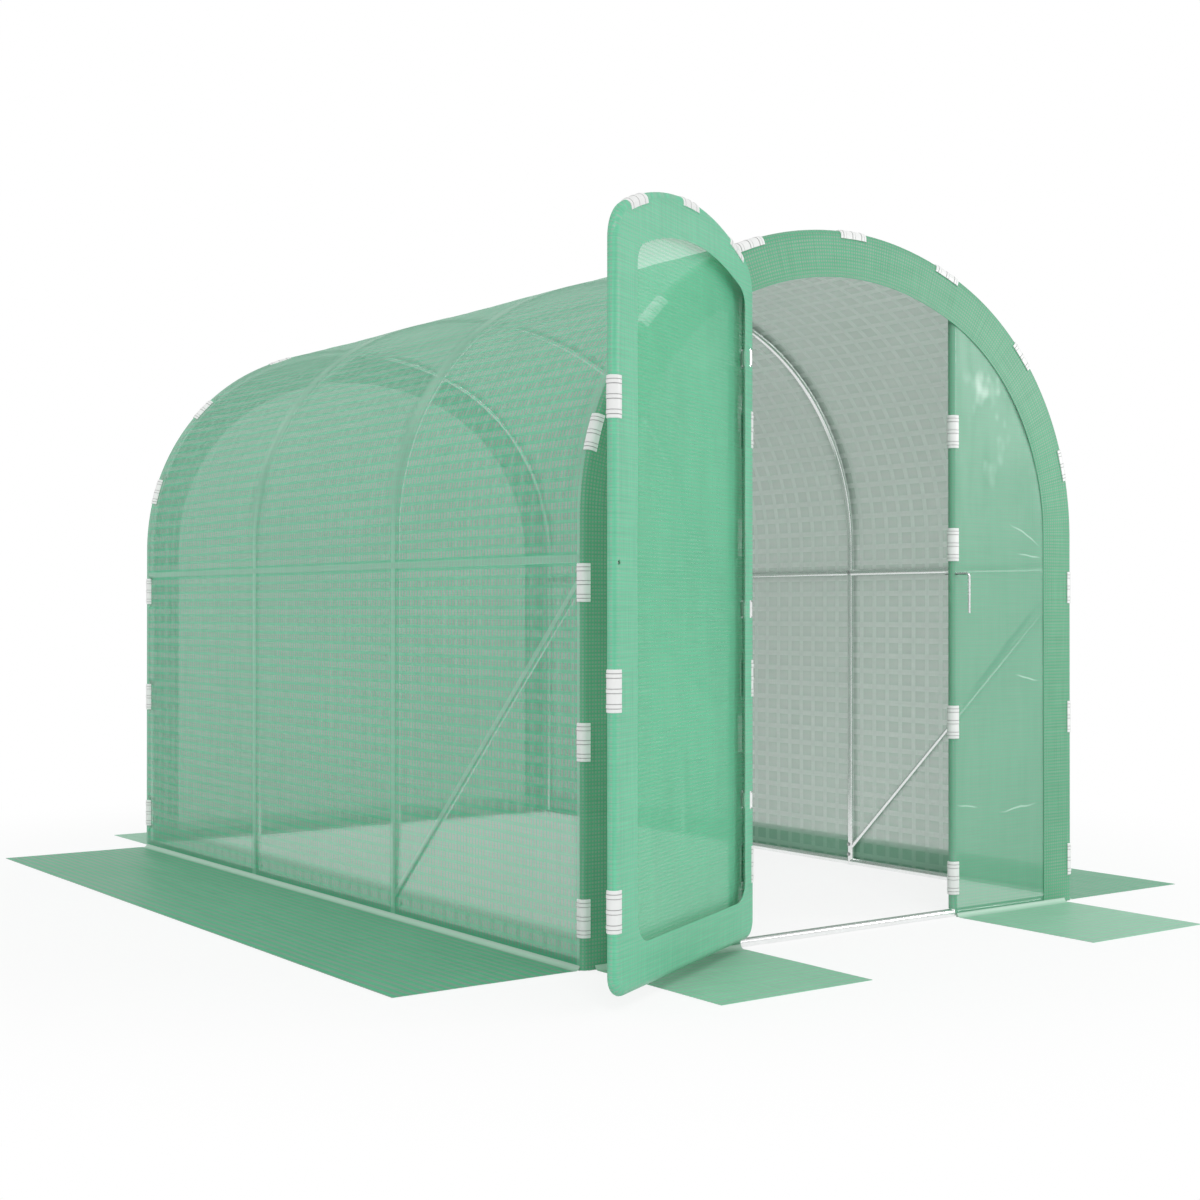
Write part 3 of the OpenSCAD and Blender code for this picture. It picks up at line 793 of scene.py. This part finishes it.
def skirts():
    """Ground skirts at both sides, beside the doorway and at the back."""
    wall, length = HALF_W + FILM_OUT + SIDE_SKIRT_GAP, (0, Y_BACK - Y_FRONT)
    gap, half, inside = FILM_OUT + END_SKIRT_GAP, HALF_W - TUBE_R, HALF_W - 2 * TUBE_R
    front, bay = Y_FRONT - gap, (inside - POST_X, 0)
    ahead, behind = (0, gap - FRONT_SKIRT), (0, BACK_SKIRT - gap)
    rows = (
        ("left_skirt", (-wall, Y_FRONT), length, (-SIDE_SKIRT, 0), 0.5, "left_base_rail", side_skirt_film),
        ("right_skirt", (wall, Y_FRONT), length, (SIDE_SKIRT, 0), 1.4, "right_base_rail", side_skirt_film),
        ("front_left_skirt", (-inside, front), bay, ahead, 2.2, "threshold_rail", end_skirt_film),
        ("front_right_skirt", (POST_X, front), bay, ahead, 3.1, "threshold_rail", end_skirt_film),
        ("back_skirt", (-half, Y_BACK + gap), (2 * half, 0), behind, 4.0, "back_base_rail", end_skirt_film),
    )
    for row in rows:
        skirt(*row)


# Door film


def loop_of(arch, low, foot, counts):
    """Closed outline as (x, z, outward x, outward z): along the foot, up the right side, over and down.

    counts are the steps in a bend of the foot, the foot, a leg, a shoulder and the crown.
    """
    in_bend, in_foot, in_leg, in_shoulder, in_crown = counts
    inner = arch.half - foot

    def bend(x, start):
        turns = [start + math.pi / 2 * k / in_bend for k in range(in_bend)]
        ways = [(math.cos(a), math.sin(a)) for a in turns]
        return [(x + foot * cos, low + foot + foot * sin, cos, sin) for cos, sin in ways]

    places = bend(-inner, math.pi)
    places += [(-inner + 2 * inner * k / in_foot, low, 0.0, -1.0) for k in range(in_foot)]
    places += bend(inner, -math.pi / 2)
    turn = arch.leg + arch.bend
    marks = (arch.run, arch.run - arch.leg, arch.run - turn, turn, arch.leg, 0.0)
    for first, last, steps in zip(marks, marks[1:], (in_leg, in_shoulder, in_crown, in_shoulder, in_leg)):
        places += [arch.at(first + (last - first) * k / steps) for k in range(steps)]
    return places


DOOR_COUNTS = (6, 30, 70, 10, 36)
DOOR_LOOP = loop_of(DOOR, DOOR_AXIS_LOW, DOOR_FOOT_R, DOOR_COUNTS)
WINDOW_HALF = POST_X - (HEM_FREE + HEM_HINGE) / 2 + FILM_OUT
WINDOW_SHIFT = (HEM_HINGE - HEM_FREE) / 2
WINDOW_LOW = DOOR_LOW + HEM_END
WINDOW = Arch(WINDOW_HALF, DOOR_TOP - HEM_END, DOOR_CROWN_R, WINDOW_R, WINDOW_LOW + WINDOW_R)
WINDOW_LOOP = [(p[0] + WINDOW_SHIFT, p[1]) for p in loop_of(WINDOW, WINDOW_LOW, WINDOW_R, DOOR_COUNTS)]


def hem_place(k, t):
    """Place on the door's hem: t runs from 0 at the tube to 1 at the window's edge."""
    (x, z, _, _), (wx, wz) = DOOR_LOOP[k], WINDOW_LOOP[k]
    slack = 0.0014 * ease(t, 0.25, 0.9) * (1 + ripple(k * 0.02, t * 0.3, 5.1))
    return (x + (wx - x) * t, FILM_OUT + slack, z + (wz - z) * t)


def door_wrap(cutters):
    """Film turned round the door's tubes, with its hem on the inner face."""
    grid = []
    for k, (x, z, out_x, out_z) in enumerate(DOOR_LOOP):
        row = []
        for a in spread(-math.pi / 2, math.pi / 2, 0.26):
            reach, run = FILM_OUT * math.cos(a), FILM_OUT * a
            px, pz = x + out_x * reach, z + out_z * reach
            row.append((hang((px, FILM_OUT * math.sin(a), pz)), (pz + out_z * run, px + out_x * run)))
        for t in HEM_STEPS:
            place = hem_place(k, t)
            row.append((hang(place), (place[2], place[0])))
        grid.append(row)
    piece = film_sheet("door_wrap", grid, hem_film, hem_film, ring=True, cutters=cutters)
    around = sum(math.dist(DOOR_LOOP[k][:2], DOOR_LOOP[k - 1][:2]) for k in range(len(DOOR_LOOP)))
    flat = (around, sheet_area(piece) / around)
    lay(piece, "door", ["door_edge", "door_hem"], flat=flat, held="stretched", rests_on=["door_frame"])


def door_sheet(cutters):
    """Single film on the door's outer face."""
    half, foot = POST_X - SHEET_INSET, DOOR_FOOT_R
    grid = []
    for t in spread(-1.0, 1.0, 0.04):
        x = half * math.sin(math.pi / 2 * t)
        high = DOOR.height(x, SHEET_INSET)
        in_foot = max(abs(x) - (half - foot), 0.0)
        low = DOOR_AXIS_LOW + SHEET_INSET + foot - math.sqrt(max(foot * foot - in_foot * in_foot, 0.0))
        row = []
        for z in spread(low, high, (high - low) / 90):
            edge = max(min(half - 0.02 - abs(x), high - 0.03 - z, z - low - 0.03), 0.0)
            wave = 0.0030 * ripple(x * 1.7, z * 0.9, 6.3) + 0.0012 * ripple(x * 4.4, z * 2.3, 1.2)
            sink = ease(edge, 0.0, 0.10) * (0.0035 + wave)
            row.append((hang((x, -FILM_OUT + sink, z)), (z, x)))
        grid.append(row)
    piece = film_sheet("door_sheet", grid, door_film, door_film, cutters=cutters)
    flat, area = (2 * half, DOOR_TOP - DOOR_LOW - 2 * FILM_OUT), sheet_area(piece)
    lay(piece, "door", ["door_panel"], flat=flat, held="stretched", rests_on=["door_frame"], area=area)


def fitting_cutters():
    """Blocks that clear the hinges and the latch pin out of the door's film."""
    blocks = [cutter(pin_hole(DOOR_HOLE_GAP), HOLE_REACH, hang)]
    left, right = -POST_X - NOTCH_DEPTH, -POST_X + NOTCH_REACH
    for z in HINGE_PLACES:
        low, high = z - HINGE_H / 2 - NOTCH_MARGIN, z + HINGE_H / 2 + NOTCH_MARGIN
        blocks.append(cutter([(left, low), (right, low), (right, high), (left, high)], NOTCH_DEPTH, hang))
    return blocks


# Repeated pieces


class Nodes(Graph):
    """A Geometry Nodes tree with named inputs."""

    def __init__(self, name, **inputs):
        super().__init__(bpy.data.node_groups.new(name, "GeometryNodeTree"))
        face = self.tree.interface
        face.new_socket("Geometry", in_out="INPUT", socket_type="NodeSocketGeometry")
        self.names = {}
        for label, kind in inputs.items():
            socket = face.new_socket(label, in_out="INPUT", socket_type="NodeSocket" + kind)
            self.names[label] = socket.identifier
        face.new_socket("Geometry", in_out="OUTPUT", socket_type="NodeSocketGeometry")
        given = self.nodes.new("NodeGroupInput")
        self.given = {label: Value(self, given.outputs[label]) for label in ("Geometry", *inputs)}
        self.made = self.nodes.new("NodeGroupOutput").inputs[0]

    def attribute(self, name, kind="FLOAT_VECTOR"):
        return self.add("GeometryNodeInputNamedAttribute", {"Name": name}, data_type=kind)

    def lifted(self, body, height):
        """A body moved up by a height."""
        rise = self.add("ShaderNodeCombineXYZ", {"Z": height})
        return self.add("GeometryNodeTransform", {"Geometry": body, "Translation": rise})

    def facing(self, main, second, main_axis, second_axis):
        """Rotation that lays two axes along two directions."""
        sockets = {"Primary Axis": main, "Secondary Axis": second}
        axes = {"primary_axis": main_axis, "secondary_axis": second_axis}
        return self.add("FunctionNodeAxesToRotation", sockets, **axes)

    def scatter(self, points, body, turned):
        """Plain copies of a body on points, each turned its own way."""
        sockets = {"Points": points, "Instance": body, "Rotation": turned}
        copies = self.add("GeometryNodeInstanceOnPoints", sockets)
        return self.add("GeometryNodeRealizeInstances", {"Geometry": copies})

    def finish(self, geometry):
        """Ends the tree: plain geometry in the Finish material."""
        sockets = {"Geometry": geometry, "Material": self.given["Finish"]}
        self.plug(self.made, self.add("GeometryNodeSetMaterial", sockets))

    def make(self, name, places, edges, values, **attributes):
        """Runs the tree on places with attributes, and returns a plain piece."""
        mesh = bpy.data.meshes.new(name)
        mesh.from_pydata(places, edges, [])
        for label, data in attributes.items():
            mark(mesh, label, data)
        obj = link(name, mesh)
        modifier = obj.modifiers.new("repeat", "NODES")
        modifier.node_group = self.tree
        for label, value in values.items():
            modifier[self.names[label]] = value
        return settle(obj)


def clip_nodes():
    """Clips on places, each turned to its tube and bent with it."""
    tree = Nodes("clips", Clip="Object", Finish="Material", Bend="Float")
    body = tree.add("GeometryNodeObjectInfo", {"Object": tree.given["Clip"]}, out=4)
    out = tree.attribute("out")
    turned = tree.facing(tree.attribute("along"), out, "X", "Y")
    real = tree.scatter(tree.given["Geometry"], body, turned)
    reach = tree.attribute("reach", "FLOAT")
    curl = tree.attribute("curl", "FLOAT") * tree.given["Bend"]
    fall = reach * reach * curl
    offset = tree.add("ShaderNodeVectorMath", {0: out, "Scale": fall}, operation="SCALE")
    tree.finish(tree.add("GeometryNodeSetPosition", {"Geometry": real, "Offset": offset}))
    return tree


def clip_section(kind):
    """Section of a clip, as (inner, outer) pairs of (outward, back) places along its wall."""
    ends = {"flat": 0.0, "sleeve": BACK_GRIP, "edge": math.pi / 2}
    lip = (CLIP_LIP, CLIP_LIP / 2)
    pairs = [((-x, -CLIP_IN), (-x, -CLIP_OUT)) for x in lip]
    for a in spread(-math.pi / 2, ends[kind], 0.20):
        pairs.append(tuple((r * math.cos(a), r * math.sin(a)) for r in (CLIP_IN, CLIP_OUT)))
    if kind == "edge":
        pairs += [((-x, CLIP_IN), (-x, CLIP_OUT)) for x in lip[::-1]]
    if kind == "flat":
        pairs += [((CLIP_IN, y), (CLIP_OUT, y)) for y in lip[::-1]]
    return pairs


def clip_body(kind):
    """One straight clip: a sprung wall with three raised ribs and eased ends."""
    half = CLIP_L / 2
    stations = [(-half, -CLIP_BEVEL), (-half + CLIP_BEVEL, 0.0)]
    for rib in (-RIB_AT, 0.0, RIB_AT):
        for side in (-1, 1):
            edge = rib + side * RIB_W / 2
            start = edge - GROOVE_W
            step = [(start - GROOVE_EASE, 0.0), (start, -GROOVE_D)]
            step += [(edge - RIB_EASE, -GROOVE_D), (edge, RIB_H)]
            stations += step if side < 0 else [(2 * edge - x, h) for x, h in step[::-1]]
    stations += [(half - CLIP_BEVEL, 0.0), (half, -CLIP_BEVEL)]
    pairs = clip_section(kind)
    places, faces = [], []
    loop = 2 * len(pairs)
    for x, rise in stations:
        inner = [Vector((x, *p)) for p, _ in pairs]
        outer = []
        for k, (p, q) in enumerate(pairs):
            wall = Vector((q[0] - p[0], q[1] - p[1]))
            share = LIP_SHARE if k in (0, len(pairs) - 1) else 1.0
            step = wall.normalized() * rise * share
            outer.append(Vector((x, q[0] + step[0], q[1] + step[1])))
        places += inner + outer[::-1]
    for i in range(len(stations) - 1):
        for k in range(loop):
            n = (k + 1) % loop
            faces.append((i * loop + k, (i + 1) * loop + k, (i + 1) * loop + n, i * loop + n))
    last = (len(stations) - 1) * loop
    for k in range(len(pairs) - 1):
        a, b = k, loop - 1 - k
        faces.append((a, a + 1, b - 1, b))
        faces.append((last + b, last + b - 1, last + a + 1, last + a))
    mesh = bpy.data.meshes.new("clip")
    mesh.from_pydata(places, [], faces)
    mark(mesh, "reach", [p[0] for p in places])
    # Points at the bottom of the grooves, where the clip finish paints shade
    mark(mesh, "groove", [float(rise == -GROOVE_D) for _, rise in stations for _ in range(loop)])
    return link("clip", mesh)


def hoop_clip_places(y, inward):
    """Places of the clips on an end hoop; inward is the way along y to the inside of the tunnel."""
    rows = []
    for s in hoop_clip_runs():
        x, z, out_x, out_z = HOOP.at(s)
        out = Vector((out_x, 0.0, out_z))
        rows.append((Vector((x, y, z)), out.cross(Vector((0, inward, 0))), out, HOOP.bend_at(s)))
    return rows


def post_clip_places(side):
    """Places of the clips on a door post, gripping it from the doorway."""
    out = Vector((-side, 0.0, 0.0))
    axis = Y_FRONT + POST_BACK
    return [(Vector((side * POST_X, axis, z)), Vector((0, 0, 1)), out, 0.0) for z in POST_CLIPS]


def door_clip_places():
    """Places of the clips round the hung door."""
    runs = [z - DOOR.base for z in STILE_CLIPS]
    runs += [DOOR.run - s for s in runs]
    runs += [DOOR.half_run + math.radians(a) * DOOR_CROWN_R for a in DOOR_CROWN_CLIPS]
    rows = []
    for s in runs:
        x, z, out_x, out_z = DOOR.at(s)
        out = turn_out((out_x, 0.0, out_z))
        rows.append((hang((x, 0.0, z)), out.cross(turn_out((0, 1, 0))), out, DOOR.bend_at(s)))
    return rows


def clips():
    """White clips on the end hoops, the door posts and the door."""
    tree = clip_nodes()
    flat_clip, sleeve_clip, edge_clip = (clip_body(kind) for kind in ("flat", "sleeve", "edge"))
    sets = [
        ("front_clips", flat_clip, hoop_clip_places(Y_FRONT, 1), "frame", "front_hoop_clips"),
        ("back_clips", sleeve_clip, hoop_clip_places(Y_BACK, -1), "frame", "back_hoop_clips"),
        ("left_clips", edge_clip, post_clip_places(-1), "frame", "left_post_clips"),
        ("right_clips", edge_clip, post_clip_places(1), "frame", "right_post_clips"),
        ("hung_clips", edge_clip, door_clip_places(), "door", "door_clips"),
    ]
    for name, body, rows, moves_with, node in sets:
        centres, along, out, curl = zip(*rows)
        values = {"Clip": body, "Finish": clip_white, "Bend": -0.5}
        piece = tree.make(name, centres, [], values, along=along, out=out, curl=curl)
        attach(piece, moves_with)
        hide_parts(node)
    drop(flat_clip, sleeve_clip, edge_clip)


def bolt_nodes():
    """Hexagon bolt heads on washers, standing along each place's direction."""
    tree = Nodes("bolts", Width="Float", Height="Float", Finish="Material")
    height = tree.given["Height"]
    washer = tree.add("GeometryNodeMeshCylinder", WASHER)
    radius = tree.given["Width"] * (1 / math.sqrt(3))
    head = tree.add("GeometryNodeMeshCylinder", {"Vertices": 6, "Radius": radius, "Depth": height})
    head = tree.lifted(head, height * 0.5)
    crown = tree.lifted(tree.add("GeometryNodeMeshCone", BOLT_CROWN), height)
    bolt = tree.add("GeometryNodeJoinGeometry")
    for part in (crown, head, washer):
        tree.plug(bolt.socket.node.inputs[0], part)
    turned = tree.add("FunctionNodeAlignRotationToVector", {"Vector": tree.attribute("out")}, axis="Z")
    tree.finish(tree.scatter(tree.given["Geometry"], bolt, turned))
    return tree


def bolts():
    """Bolts where the rails, the braces and the ridge meet the hoops."""
    wall = HALF_W - TUBE_R - WASHER_GAP
    rows = []
    for i in range(len(HOOP_NODES)):
        y = Y_FRONT + i * BAY
        for side in (-1, 1):
            rows += [(Vector((side * wall, y, z)), Vector((-side, 0, 0))) for z in (WAIST_H, BASE_BOLT_H)]
        rows.append((Vector((0, y, PEAK - 3 * TUBE_R - RIDGE_GAP)), Vector((0, 0, -1))))
    for side in (-1, 1):
        for y, z in ((Y_FRONT, BRACE_TOP), (Y_FRONT + BAY, BRACE_FOOT + FOOT_BOLT_RISE)):
            rows.append((Vector((side * wall, y, z)), Vector((-side, 0, 0))))
    places, out = zip(*rows)
    values = {**BOLT, "Finish": bolt_zinc}
    piece = bolt_nodes().make("bolts", places, [], values, out=out)
    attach(piece, "frame")


def stitch_nodes():
    """Stitches in rows along lines, each lying flat on its sheet."""
    tree = Nodes("stitches", Pitch="Float", Length="Float", Thick="Float", Finish="Material")
    line = tree.add("GeometryNodeMeshToCurve", {"Mesh": tree.given["Geometry"]})
    even = {"Curve": line, "Length": tree.given["Pitch"]}
    points = tree.add("GeometryNodeResampleCurve", even, mode="LENGTH")
    shape = {"Vertices": 6, "Radius": tree.given["Thick"] * 0.5, "Depth": tree.given["Length"]}
    stitch = tree.add("GeometryNodeMeshCylinder", shape)
    turned = tree.facing(tree.add("GeometryNodeInputTangent"), tree.attribute("up"), "Z", "X")
    tree.finish(tree.scatter(points, stitch, turned))
    return tree


def seams():
    """Stitched seams along the turned edges and the door's hem."""
    tree = stitch_nodes()
    lines = {"frame": [], "door": []}
    for y, facing in ((Y_FRONT, -1), (Y_BACK, 1)):
        up = Vector((0, facing, 0))
        for inset in BAND_SEAMS:
            runs = spread(SEAM_END, HOOP.run - SEAM_END, 0.012)
            rows = [(band_place(s, BAND_RUN - inset, y, facing) + up * THREAD_LIFT, up) for s in runs]
            lines["frame"].append((rows, False))
    up = turn_out((0, 1, 0))
    for t in HEM_SEAMS:
        rows = [(hang(hem_place(k, t)) + up * THREAD_LIFT, up) for k in range(len(DOOR_LOOP))]
        lines["door"].append((rows, True))
    for body, rows_of in lines.items():
        places, ups, edges = [], [], []
        for rows, closed in rows_of:
            first = len(places)
            places += [p for p, _ in rows]
            ups += [u for _, u in rows]
            edges += [(first + i, first + i + 1) for i in range(len(rows) - 1)]
            edges += [(len(places) - 1, first)] if closed else []
        values = {**STITCH, "Finish": seam_thread}
        piece = tree.make(f"{body}_seams", places, edges, values, up=ups)
        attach(piece, body)


def paint_tubes():
    """Finishes of the steel pieces that the frame brings."""
    for node in frame["record"]["subparts"]:
        finish = {"tube": tube_zinc, "pin": pin_zinc}.get(node["material_slot"])
        if finish:
            for place in frame["nodes"][node["node"]].material_slots:
                place.material = finish


# Floor, light and camera

LENS, SENSOR, CAMERA_PLACE, CAMERA_TURN = 53.48, 36.0, (-3.675, -5.2805, 0.952), (90.272, 0.0, -35.80)
FLOOR_REACH, FLOOR_Z = 60.0, -0.0005
FLOOR_WHITE, FLOOR_FADE = 0.82, (1.9, 3.4)
SKY_LIGHT = 0.72


def floor():
    """Pale floor that fades into the white background."""
    corners = [(x * FLOOR_REACH, y * FLOOR_REACH, FLOOR_Z) for x, y in ((-1, -1), (1, -1), (1, 1), (-1, 1))]
    mesh = bpy.data.meshes.new("floor")
    mesh.from_pydata(corners, [], [(0, 1, 2, 3)])
    paint = Paint("pale floor", Roughness=0.9, Specular_IOR_Level=0.0, Base_Color=(0.90, 0.90, 0.90, 1.0))
    away = paint.add("ShaderNodeVectorMath", {0: paint.places()}, out=1, operation="LENGTH")
    seen = paint.add("ShaderNodeLightPath", out="Is Camera Ray")
    for ray in ("Is Glossy Ray", "Is Transmission Ray"):
        seen = seen.math("MAXIMUM", paint.add("ShaderNodeLightPath", out=ray))
    share = seen * (FLOOR_WHITE + (1 - FLOOR_WHITE) * away.rise(*FLOOR_FADE))
    white = paint.add("ShaderNodeEmission", {"Color": (1.0, 1.0, 1.0, 1.0), "Strength": 1.0})
    sockets = {0: share, 1: Value(paint, paint.surface.outputs[0]), 2: white}
    mixed = paint.add("ShaderNodeMixShader", sockets)
    paint.plug(paint.nodes["Material Output"].inputs["Surface"], mixed)
    link("floor", mesh, paint.material)


def lamp(name, kind, place, aim, energy):
    """New lamp at a place, aimed at another."""
    data = bpy.data.lights.new(name, kind)
    data.energy = energy
    obj = bpy.data.objects.new(name, data)
    obj.location = place
    obj.rotation_euler = (Vector(aim) - Vector(place)).to_track_quat("-Z", "Y").to_euler()
    bpy.context.scene.collection.objects.link(obj)
    return data


def studio():
    """White surroundings with a soft sun from the front left and a small fill from the front right."""
    world = bpy.data.worlds.new("studio")
    world.use_nodes = True
    graph = Graph(world.node_tree)
    sky = graph.nodes["Background"].inputs
    seen = graph.add("ShaderNodeLightPath", out="Is Camera Ray")
    graph.plug(sky["Strength"], SKY_LIGHT + (1 - SKY_LIGHT) * seen)
    graph.plug(sky["Color"], (1.0, 1.0, 1.0, 1.0))
    bpy.context.scene.world = world
    lamp("key", "SUN", (-3.0, -5.0, 6.0), (0.0, 0.0, 0.8), 1.0).angle = math.radians(25)
    side = lamp("side", "AREA", (4.6, -4.8, 2.5), (0.7, -1.45, 1.5), 60.0)
    side.shape, side.size = "SQUARE", 1.2
    bpy.context.scene.view_settings.view_transform = "Standard"


def camera():
    """Camera at the photograph's place."""
    data = bpy.data.cameras.new("camera")
    data.sensor_width, data.lens = SENSOR, LENS
    obj = bpy.data.objects.new("camera", data)
    obj.location = CAMERA_PLACE
    obj.rotation_euler = [math.radians(a) for a in CAMERA_TURN]
    bpy.context.scene.collection.objects.link(obj)
    bpy.context.scene.camera = obj


camera()
studio()
floor()
paint_tubes()
cover()
band("front_band", Y_FRONT, -1)
band("back_band", Y_BACK, 1)
latch_hole = cutter(pin_hole(POST_HOLE_GAP), HOLE_REACH, at_front)
front_panel("front_left_panel", -1)
front_panel("front_right_panel", 1, [latch_hole])
back_panel()
skirts()
fittings = fitting_cutters()
door_wrap(fittings)
door_sheet(fittings)
drop(latch_hole, *fittings)
clips()
bolts()
seams()
